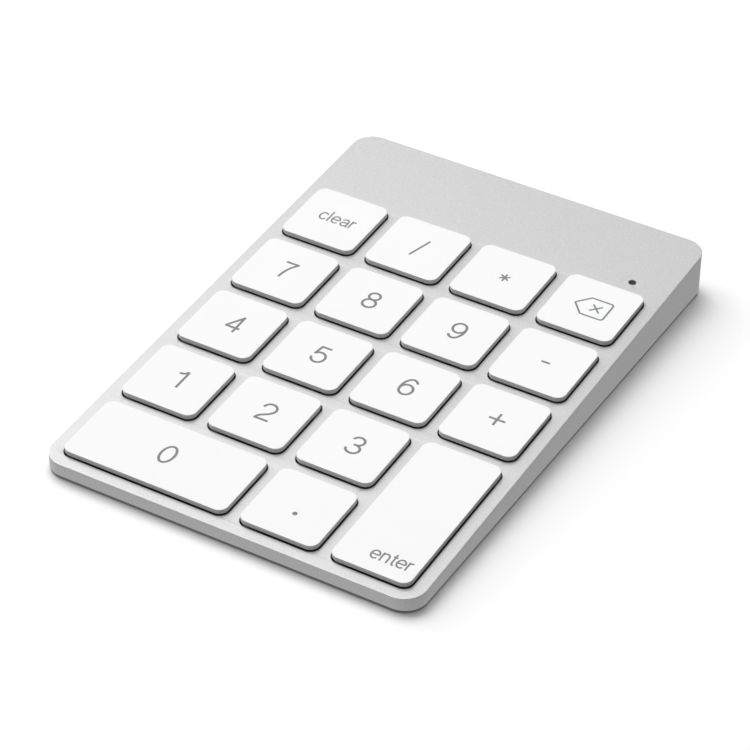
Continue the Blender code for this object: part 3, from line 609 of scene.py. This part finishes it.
def make_dome(name):
    """Hollow bell of silicone on its own square of film."""
    x, y, _, _ = key_place(name)
    bm = bmesh.new()
    pad = outline(DOME_PAD, DOME_PAD, DOME_PAD_CORNER, x, y, 4)
    base, top = ring(bm, pad, FILM_BOTTOM), ring(bm, pad, FILM_TOP)
    outer = [ring(bm, circle(r * MM, x, y, DOME_STEPS), z * MM) for r, z in DOME_BELL]
    hollow = [(DOME_BELL[0][0], FILM_BOTTOM / MM)]
    hollow += [(r, z - DOME_ROOF) for r, z in DOME_BELL[2:-1]]
    inner = [ring(bm, circle(r * MM - DOME_WALL, x, y, DOME_STEPS), z * MM) for r, z in hollow]
    wall(bm, base, top)
    skin(bm, outer)
    skin(bm, inner)
    fill(bm, outer[-1])
    fill(bm, inner[-1])
    fill(bm, top, outer[0])
    fill(bm, base, inner[0])
    bmesh.ops.transform(bm, matrix=DECK, verts=bm.verts)
    dome = finished("dome_" + name, bm, SILICONE, "casing", 60.0)
    flattens(dome)


def key_lines():
    """Names of the keys along each row and then down each column, with the axis that they follow."""
    for axis in (0, 1):
        other = 1 - axis
        for place in range(5):
            line = [n for n, key in KEYS.items() if key[other] == place and key[2 + other] == 1]
            yield axis, line


def make_dome_runners():
    """Strips of film that join each dome's pad to the next in its row and in its column."""
    bm = bmesh.new()
    levels = [(0.0, FILM_BOTTOM + FILM_SETBACK), (0.0, FILM_TOP - FILM_SETBACK)]
    for axis, line in key_lines():
        for first, second in zip(line, line[1:]):
            a, b = (Vector(key_place(name)[:2]) for name in (first, second))
            length = abs((b - a)[axis]) - DOME_PAD + RUNNER_OVERLAP
            size = (DOME_RUNNER, length) if axis else (length, DOME_RUNNER)
            solid(bm, outline(*size, 0.02 * MM, *((a + b) / 2), 1), levels)
    bmesh.ops.transform(bm, matrix=DECK, verts=bm.verts)
    runners = finished("dome_runners", bm, SILICONE, "casing")
    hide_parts("dome_sheet")


# ---------------------------------------------------------------- legends


def arc(x, y, rx, ry, start, end, steps=28):
    """Points on an ellipse from one angle to another, in degrees."""
    turn = math.radians(end - start)
    first = math.radians(start)
    return [
        (x + rx * math.cos(first + turn * i / steps), y + ry * math.sin(first + turn * i / steps))
        for i in range(steps + 1)
    ]


def bend(start, control, end, steps=14):
    """Points on a curve that leaves start towards control and arrives at end."""
    a, b, c = Vector(start), Vector(control), Vector(end)
    points = []
    for i in range(steps + 1):
        t = i / steps
        points.append(tuple((1 - t) ** 2 * a + 2 * t * (1 - t) * b + t * t * c))
    return points


# Strokes of each glyph, in units of its height, along the middle of the line
GLYPHS = {
    "0": [arc(0.29, 0.5, 0.25, 0.455, 0, 360, 56)],
    "1": [bend((0.06, 0.8), (0.31, 0.82), (0.33, 1.0)), [(0.355, 1.0), (0.355, 0.0)]],
    "2": [
        arc(0.29, 0.69, 0.245, 0.265, 178, -22)
        + bend((0.49, 0.545), (0.42, 0.43), (0.25, 0.315))
        + bend((0.2, 0.28), (0.05, 0.17), (0.045, 0.045)),
        [(0.0, 0.045), (0.55, 0.045)],
    ],
    "3": [
        arc(0.28, 0.735, 0.215, 0.22, 172, -82),
        [(0.2, 0.515), (0.31, 0.515)],
        arc(0.28, 0.28, 0.25, 0.235, 84, -176),
    ],
    "4": [
        [(0.44, 0.985), (0.045, 0.3)],
        [(0.0, 0.27), (0.575, 0.27)],
        [(0.425, 1.0), (0.425, 0.0)],
    ],
    "5": [
        [(0.51, 0.955), (0.12, 0.955)],
        [(0.14, 0.99), (0.065, 0.48)],
        arc(0.28, 0.34, 0.25, 0.295, 140, -172),
    ],
    "6": [
        arc(0.295, 0.33, 0.245, 0.285, 0, 360, 48),
        arc(0.32, 0.42, 0.28, 0.535, 186, 92) + arc(0.31, 0.75, 0.205, 0.205, 84, 12),
    ],
    "7": [[(0.0, 0.955), (0.53, 0.955)], bend((0.515, 0.97), (0.21, 0.62), (0.17, 0.0))],
    "8": [
        arc(0.29, 0.745, 0.205, 0.21, 0, 360, 44),
        arc(0.29, 0.29, 0.245, 0.245, 0, 360, 48),
    ],
    "c": [arc(0.45, 0.5, 0.39, 0.44, 38, 322)],
    "l": [[(0.07, 0.0), (0.07, 1.37)]],
    "e": [[(0.07, 0.5), (0.84, 0.5)], arc(0.45, 0.5, 0.39, 0.44, 0, 318)],
    "a": [
        arc(0.42, 0.66, 0.31, 0.28, 168, 0) + [(0.73, 0.66), (0.73, 0.2)]
        + bend((0.73, 0.18), (0.73, 0.05), (0.88, 0.05)),
        bend((0.73, 0.6), (0.7, 0.54), (0.4, 0.52)) + arc(0.36, 0.29, 0.28, 0.23, 90, 270)
        + bend((0.38, 0.06), (0.7, 0.06), (0.73, 0.4)),
    ],
    "r": [[(0.07, 0.0), (0.07, 1.0)], bend((0.07, 0.55), (0.08, 0.96), (0.46, 0.92))],
    "n": [
        [(0.07, 0.0), (0.07, 1.0)],
        arc(0.4, 0.62, 0.33, 0.32, 180, 0) + [(0.73, 0.0)],
    ],
    "t": [
        [(0.22, 1.27), (0.22, 0.2)],
        bend((0.22, 0.24), (0.22, 0.03), (0.45, 0.06)),
        [(0.0, 0.93), (0.44, 0.93)],
    ],
}
GLYPHS["9"] = [[(0.58 - x, 1.0 - y) for x, y in stroke] for stroke in GLYPHS["6"]]
ADVANCE = {"c": 0.98, "l": 0.36, "e": 1.02, "a": 0.99, "r": 0.5, "n": 0.99, "t": 0.55}

SYMBOLS = {
    "divide": [[(-0.84, -2.8), (0.84, 2.8)]],
    "multiply": [
        [(1.13 * math.cos(a), 1.13 * math.sin(a)), (-1.13 * math.cos(a), -1.13 * math.sin(a))]
        for a in (math.radians(t) for t in (30, 90, 150))
    ],
    "minus": [[(-0.9, 0.0), (0.9, 0.0)]],
    "plus": [[(-1.7, 0.0), (1.7, 0.0)], [(0.0, -1.75), (0.0, 1.75)]],
    "decimal": [arc(0.0, 0.0, 0.24, 0.24, 0, 360, 24)],
    "backspace": [
        arc(2.9, 2.07, 0.6, 0.6, 90, 0, 8)
        + arc(2.9, -2.07, 0.6, 0.6, 0, -90, 8)
        + arc(-1.05, -2.32, 0.35, 0.35, -90, -139, 4)
        + arc(-3.3, 0.0, 0.2, 0.2, -139, -221, 5)
        + arc(-1.05, 2.32, 0.35, 0.35, 139, 90, 4)
        + [(2.9, 2.67)],
        [(-0.1, 1.02), (1.94, -1.02)],
        [(-0.1, -1.02), (1.94, 1.02)],
    ],
}
# Stroke and middle of each symbol, in millimetres from the middle of its cap
SYMBOL_STROKE = {
    "divide": 0.45, "multiply": 0.4, "minus": 0.5, "plus": 0.5, "decimal": 0.48, "backspace": 0.38,
}
SYMBOL_PLACE = {
    "divide": (0.3, 0.08), "multiply": (0.35, 0.0), "minus": (0.35, 0.2), "plus": (0.35, 0.25),
    "decimal": (0.35, -1.92), "backspace": (0.3, 0.08),
}
# Height of a small x, width, and place of the middle of the line that the letters stand on
WORDS = {"clear": (2.4, 8.15, 0.55, -1.36), "enter": (2.3, 8.45, 2.4, -14.55)}


def without_repeats(path):
    """Points of a path as vectors, leaving out any that stands on the one before."""
    kept = [Vector(path[0])]
    for point in map(Vector, path[1:]):
        if (point - kept[-1]).length > 1e-3 * MM:
            kept.append(point)
    return kept


def stroke_sides(path, width):
    """Points to the left and right of a path, half a stroke away, mitred where it turns."""
    closed = (path[0] - path[-1]).length < 1e-3 * MM
    if closed:
        path = path[:-1]
    count = len(path)
    left, right = [], []
    for i, point in enumerate(path):
        before = path[i - 1] if closed or i else None
        after = path[(i + 1) % count] if closed or i < count - 1 else None
        along = [v.normalized() for v in (
            point - before if before else None, after - point if after else None,
        ) if v is not None]
        normals = [Vector((-v.y, v.x)) for v in along]
        normal = sum(normals, Vector((0.0, 0.0))).normalized()
        reach = width / 2 / max(0.35, normal.dot(normals[0]))
        left.append(point + normal * reach)
        right.append(point - normal * reach)
    return left, right, closed


def add_stroke(bm, path, width, top):
    """Thin slab of ink along a path, sunk into the cap and standing just proud of it."""
    left, right, closed = stroke_sides(without_repeats(path), width)
    levels = (CAP_TOP - INK_DEPTH, CAP_TOP + top)
    rows = [
        [bm.verts.new((p.x, p.y, z)) for p in side]
        for side, z in ((left, levels[0]), (left, levels[1]), (right, levels[1]), (right, levels[0]))
    ]
    count = len(left)
    for i in range(count if closed else count - 1):
        j = (i + 1) % count
        for a, b in zip(rows, rows[1:] + rows[:1]):
            bm.faces.new((a[i], a[j], b[j], b[i]))
    if not closed:
        for i in (0, count - 1):
            bm.faces.new([row[i] for row in rows])


def placed(strokes, across, up, x, y):
    """Strokes scaled and then moved to x, y."""
    return [[(x + px * across, y + py * up) for px, py in stroke] for stroke in strokes]


def word_strokes(word, height, width):
    """Strokes of a word that stands on y 0 and has its middle at x 0."""
    pen = 0.0
    strokes = []
    for letter in word:
        strokes += placed(GLYPHS[letter], 1.0, 1.0, pen, 0.0)
        pen += ADVANCE[letter]
    ends = [px for stroke in strokes for px, _ in stroke]
    squeeze = (width - WORD_STROKE) / (max(ends) - min(ends))
    centre = (max(ends) + min(ends)) / 2
    return placed(strokes, squeeze, height, -centre * squeeze, 0.0)


def legend_strokes(name):
    """Strokes of a key's legend and their width."""
    x, y, _, _ = key_place(name)
    if name.isdigit():
        across = DIGIT_HEIGHT * DIGIT_STRETCH
        left, down = DIGIT_MIDDLE
        corner = (x + DIGIT_X - left * across, y + DIGIT_Y - down * DIGIT_HEIGHT)
        return placed(GLYPHS[name], across, DIGIT_HEIGHT, *corner), DIGIT_STROKE
    if name in WORDS:
        height, width, dx, dy = (value * MM for value in WORDS[name])
        return placed(word_strokes(name, height, width), 1.0, 1.0, x + dx, y + dy), WORD_STROKE
    dx, dy = SYMBOL_PLACE[name]
    return placed(SYMBOLS[name], MM, MM, x + dx * MM, y + dy * MM), SYMBOL_STROKE[name] * MM


def make_legend(name):
    """Ink of a key's legend, each stroke a hair higher than the last where they cross."""
    strokes, width = legend_strokes(name)
    bm = bmesh.new()
    for i, stroke in enumerate(strokes):
        add_stroke(bm, stroke, width, INK_HEIGHT + 0.0005 * MM * i)
    bmesh.ops.transform(bm, matrix=DECK, verts=bm.verts)
    finished("legend_" + name, bm, INK, "key_" + name)


# ---------------------------------------------------------------- underside and rear


def make_cover():
    """Bottom cover with softened edges and a shallow recess round each foot."""
    low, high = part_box("bottom_cover")
    bm = bmesh.new()
    size = high - low
    shape = outline(size.x, size.y, BODY_CORNER - WALL - COVER_GAP)
    solid(bm, shape, rounded_levels(low.z, low.z + COVER_THICKNESS, *COVER_ROUND, 3))
    recesses = bmesh.new()
    for foot in FEET:
        centre = middle(foot)
        shape = circle(RECESS_RADIUS, centre.x, centre.y, 64)
        solid(recesses, shape, [(0.0, 0.0), (0.0, RECESS_TOP)])
    cutter = plain_object("recesses", recesses)
    cover = finished("cover", bm, COVER_PLASTIC, "casing", cutter=cutter)
    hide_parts("bottom_cover")


def make_base_seal():
    """Band below the casing's rim, with a groove above it; its dark grey is in part painted shade of the strip
    under the rim.
    """
    plan = outline(BODY_WIDTH, BODY_DEPTH, BODY_CORNER)
    bm = bmesh.new()
    rings = [ring(bm, inset(plan, inward * MM), height * MM) for inward, height in SEAL_PROFILE]
    skin(bm, rings + rings[:1])
    finished("base_seal", bm, SEAL_RUBBER_AND_RIM_SHADE, "casing")


def make_foot(node):
    """Rubber foot with a softened lower edge."""
    low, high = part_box(node)
    centre = (low + high) / 2
    bm = bmesh.new()
    shape = circle((high.x - low.x) / 2, centre.x, centre.y, 64)
    solid(bm, shape, rounded_levels(low.z, high.z, *FOOT_ROUND))
    foot = finished(node + "_pad", bm, RUBBER, "casing")
    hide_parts(node)


def make_lens():
    """Smoked light pipe with a low crown."""
    bm = bmesh.new()
    crown = [(inward * MM, LENS_TOP - depth * MM) for inward, depth in LENS_CROWN]
    solid(bm, circle(LENS_RADIUS, LED_X, LED_Y), [(0.0, LENS_BOTTOM), *crown])
    bmesh.ops.transform(bm, matrix=DECK, verts=bm.verts)
    lens = finished("light_lens", bm, LENS, "casing", 60.0)
    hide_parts("led_lens")


def make_button():
    """Round pairing button with a dished face and a flange inside the wall."""
    low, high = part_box("pairing_button")
    centre = (low + high) / 2
    bm = bmesh.new()
    outward, thick = BUTTON_FLANGE
    levels = [(-outward, low.y), (-outward, low.y + thick), (0.0, low.y + thick)]
    levels += [(i, high.y - d) for i, d in rounding(BUTTON_ROUND)]
    levels += [(inward * MM, high.y - depth * MM) for inward, depth in BUTTON_DISH]
    solid(bm, circle(BUTTON_RADIUS), levels)
    turn = upright(centre.x, centre.z)
    bmesh.ops.transform(bm, matrix=turn, verts=bm.verts)
    button = finished("button", bm, CONTROL_PLASTIC, "pairing_button")
    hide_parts("pairing_button")


def make_port():
    """Steel shell of the charging port with its rolled mouth, and the tongue inside."""
    low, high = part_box("usb_port")
    centre = (low + high) / 2
    width, height = high.x - low.x, high.z - low.z
    shape = outline(width, height, height / 2 - 0.01 * MM, steps=14)
    bm = bmesh.new()
    rings = [ring(bm, shape, low.y)]
    rings += [ring(bm, inset(shape, i), high.y - d) for i, d in rounding(PORT_ROUND, 3)]
    rings.append(ring(bm, inset(shape, PORT_WALL - PORT_LIP), high.y))
    rings.append(ring(bm, inset(shape, PORT_WALL), high.y - PORT_LIP))
    rings.append(ring(bm, inset(shape, PORT_WALL), high.y - PORT_DEPTH))
    skin(bm, rings)
    fill(bm, rings[0])
    fill(bm, rings[-1])
    turn = upright(centre.x, centre.z)
    bmesh.ops.transform(bm, matrix=turn, verts=bm.verts)
    port = finished("port_shell", bm, NICKEL, "casing")
    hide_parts("usb_port")
    bm = bmesh.new()
    shape = outline(*TONGUE, steps=4)
    inward, back = TONGUE_CHAMFER
    tip = high.y - TONGUE_TIP
    solid(bm, shape, [(0.0, high.y - TONGUE_ROOT), (0.0, tip - back), (inward, tip)])
    bmesh.ops.transform(bm, matrix=turn, verts=bm.verts)
    finished("port_tongue", bm, CHIP, "casing")


# name, x, y, width, depth and height in millimetres, material
CHIPS = (
    ("radio_chip", -6.5, 46.5, 5.0, 5.0, 0.9, CHIP),
    ("power_chip", 8.0, 46.0, 3.0, 3.0, 0.8, CHIP),
    ("crystal", -12.6, 46.0, 3.2, 2.0, 0.7, NICKEL),
    ("coil", 13.2, 46.2, 3.0, 3.0, 1.2, CHIP),
    ("flat_cable_socket", 0.6, 44.2, 5.0, 2.0, 1.0, ACETAL),
)
CHIP_CORNER = 0.15 * MM
CHIP_CHAMFER = 0.1
CHIP_GAP = 0.02 * MM


def make_chips():
    """Parts on the circuit board, each a low block with chamfered upper edges."""
    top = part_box("main_board")[1].z
    for name, x, y, width, depth, height, material in CHIPS:
        bm = bmesh.new()
        shape = outline(width * MM, depth * MM, CHIP_CORNER, x * MM, y * MM, 3)
        levels = [(0.0, top + CHIP_GAP), (0.0, top + (height - CHIP_CHAMFER) * MM)]
        levels.append((CHIP_CHAMFER * MM, top + height * MM))
        solid(bm, shape, levels)
        finished(name, bm, material, "casing")


# Finish of each material slot of the record
FINISHES = {
    "scissor_acetal": ACETAL, "screw_steel": SCREW_STEEL, "plate_steel": SHEET_STEEL,
    "membrane_film": FILM, "dome_silicone": SILICONE, "circuit_board": BOARD,
    "battery_foil": FOIL, "port_steel": NICKEL, "switch_steel": NICKEL, "led_resin": RESIN,
    "control_plastic": CONTROL_PLASTIC, "wire_steel": WIRE_STEEL,
}


def finish_carried_nodes():
    """Gives each CAD node whose slot has a finish here that procedural finish."""
    for part in frame["record"]["subparts"]:
        material = FINISHES.get(part["material_slot"])
        if not material:
            continue
        mesh = frame["nodes"][part["node"]].data
        mesh.materials.clear()
        mesh.materials.append(material)


# ---------------------------------------------------------------- studio


def direction(azimuth, elevation):
    """Unit vector towards a place seen from the object: azimuth 0 is the front, 90 the right."""
    a, e = math.radians(azimuth), math.radians(elevation)
    return Vector((math.sin(a) * math.cos(e), -math.cos(a) * math.cos(e), math.sin(e)))


def add_camera():
    """Long lens on the object from its front right, with a slight roll."""
    data = bpy.data.cameras.new("camera")
    data.lens = CAMERA_LENS
    data.clip_start = 0.05
    camera = bpy.data.objects.new("camera", data)
    bpy.context.scene.collection.objects.link(camera)
    back = direction(CAMERA_AZIMUTH, CAMERA_ELEVATION)
    camera.location = Vector(CAMERA_TARGET) + back * CAMERA_DISTANCE
    roll = Quaternion((0.0, 0.0, 1.0), math.radians(CAMERA_ROLL))
    camera.rotation_mode = "QUATERNION"
    camera.rotation_quaternion = (-back).to_track_quat("-Z", "Y") @ roll
    bpy.context.scene.camera = camera


def add_softbox(name, azimuth, elevation, distance, width, height, radiance):
    """Square-cornered area light that faces the object."""
    data = bpy.data.lights.new(name, "AREA")
    data.shape = "RECTANGLE"
    data.size = width
    data.size_y = height
    data.energy = radiance * math.pi * width * height
    light = bpy.data.objects.new(name, data)
    bpy.context.scene.collection.objects.link(light)
    back = direction(azimuth, elevation)
    light.location = back * distance
    light.rotation_mode = "QUATERNION"
    light.rotation_quaternion = (-back).to_track_quat("-Z", "Y")
    return light


def see_through_from_below(graph):
    """Clears the back of a sheet, so that the underside of the object can be looked at."""
    side = graph.add("ShaderNodeNewGeometry").outputs["Backfacing"]
    mix = graph.add("ShaderNodeMixShader")
    graph.links.new(side, mix.inputs["Fac"])
    graph.links.new(graph.shader.outputs["BSDF"], mix.inputs[1])
    graph.links.new(graph.add("ShaderNodeBsdfTransparent").outputs["BSDF"], mix.inputs[2])
    graph.links.new(mix.outputs["Shader"], graph.nodes["Material Output"].inputs["Surface"])


def add_floor():
    """Sheet of white paper just below the feet, which the object doesn't mirror."""
    bm = bmesh.new()
    bmesh.ops.create_grid(bm, x_segments=1, y_segments=1, size=FLOOR_SIZE)
    mesh = bpy.data.meshes.new("floor")
    bm.to_mesh(mesh)
    bm.free()
    graph = Graph("floor_paper")
    tone = graph.ramp(graph.noise(3.0), (0.3, (0.93, 0.93, 0.935)), (0.7, (0.94, 0.94, 0.945)))
    mesh.materials.append(graph.set(Base_Color=tone, Roughness=0.9, Specular_IOR_Level=0.1))
    see_through_from_below(graph)
    floor = bpy.data.objects.new("floor", mesh)
    bpy.context.scene.collection.objects.link(floor)
    floor.location.z = FLOOR_HEIGHT
    floor.visible_glossy = False
    floor.visible_diffuse = False


def add_world():
    """Studio surroundings: light from below and the left, dark above, with a glow on the left."""
    world = bpy.data.worlds.new("studio")
    world.use_nodes = True
    nodes, links = world.node_tree.nodes, world.node_tree.links
    coords = nodes.new("ShaderNodeTexCoord")

    def shade(axis, stops):
        """Grey that depends on how far a direction leans towards an axis, from -1 to 1."""
        lean = nodes.new("ShaderNodeVectorMath")
        lean.operation = "DOT_PRODUCT"
        lean.inputs[1].default_value = axis
        links.new(coords.outputs["Generated"], lean.inputs[0])
        reach = nodes.new("ShaderNodeMapRange")
        reach.inputs["From Min"].default_value = -1.0
        links.new(lean.outputs["Value"], reach.inputs["Value"])
        ramp = nodes.new("ShaderNodeValToRGB")
        while len(ramp.color_ramp.elements) < len(stops):
            ramp.color_ramp.elements.new(0.5)
        for element, (place, grey) in zip(ramp.color_ramp.elements, stops):
            element.position = (place + 1) / 2
            element.color = (grey, grey, grey, 1.0)
        links.new(reach.outputs["Result"], ramp.inputs["Fac"])
        return ramp.outputs["Color"]

    total = nodes.new("ShaderNodeVectorMath")
    total.operation = "ADD"
    links.new(shade(direction(*SURROUNDINGS_AXIS), SURROUNDINGS), total.inputs[0])
    links.new(shade(direction(*GLOW_FROM), GLOW), total.inputs[1])
    background = nodes["Background"]
    links.new(total.outputs["Vector"], background.inputs["Color"])
    background.inputs["Strength"].default_value = 1.0
    bpy.context.scene.world = world


add_camera()
add_world()
add_floor()
add_softbox("key", *KEY_LIGHT).visible_glossy = False
add_softbox("overhead", *OVERHEAD_LIGHT)
add_softbox("fill", *FILL_LIGHT).visible_glossy = False
for place in EDGE_LIGHTS:
    add_softbox("edge", *place).visible_diffuse = False
bpy.context.scene.view_settings.view_transform = "Standard"

make_casing()
for key in KEYS:
    make_cap(key)
    make_legend(key)
    make_inner_frame(key)
    make_dome(key)
make_dome_runners()
make_cover()
make_base_seal()
for node in FEET:
    make_foot(node)
make_lens()
make_button()
make_port()
make_chips()
finish_carried_nodes()
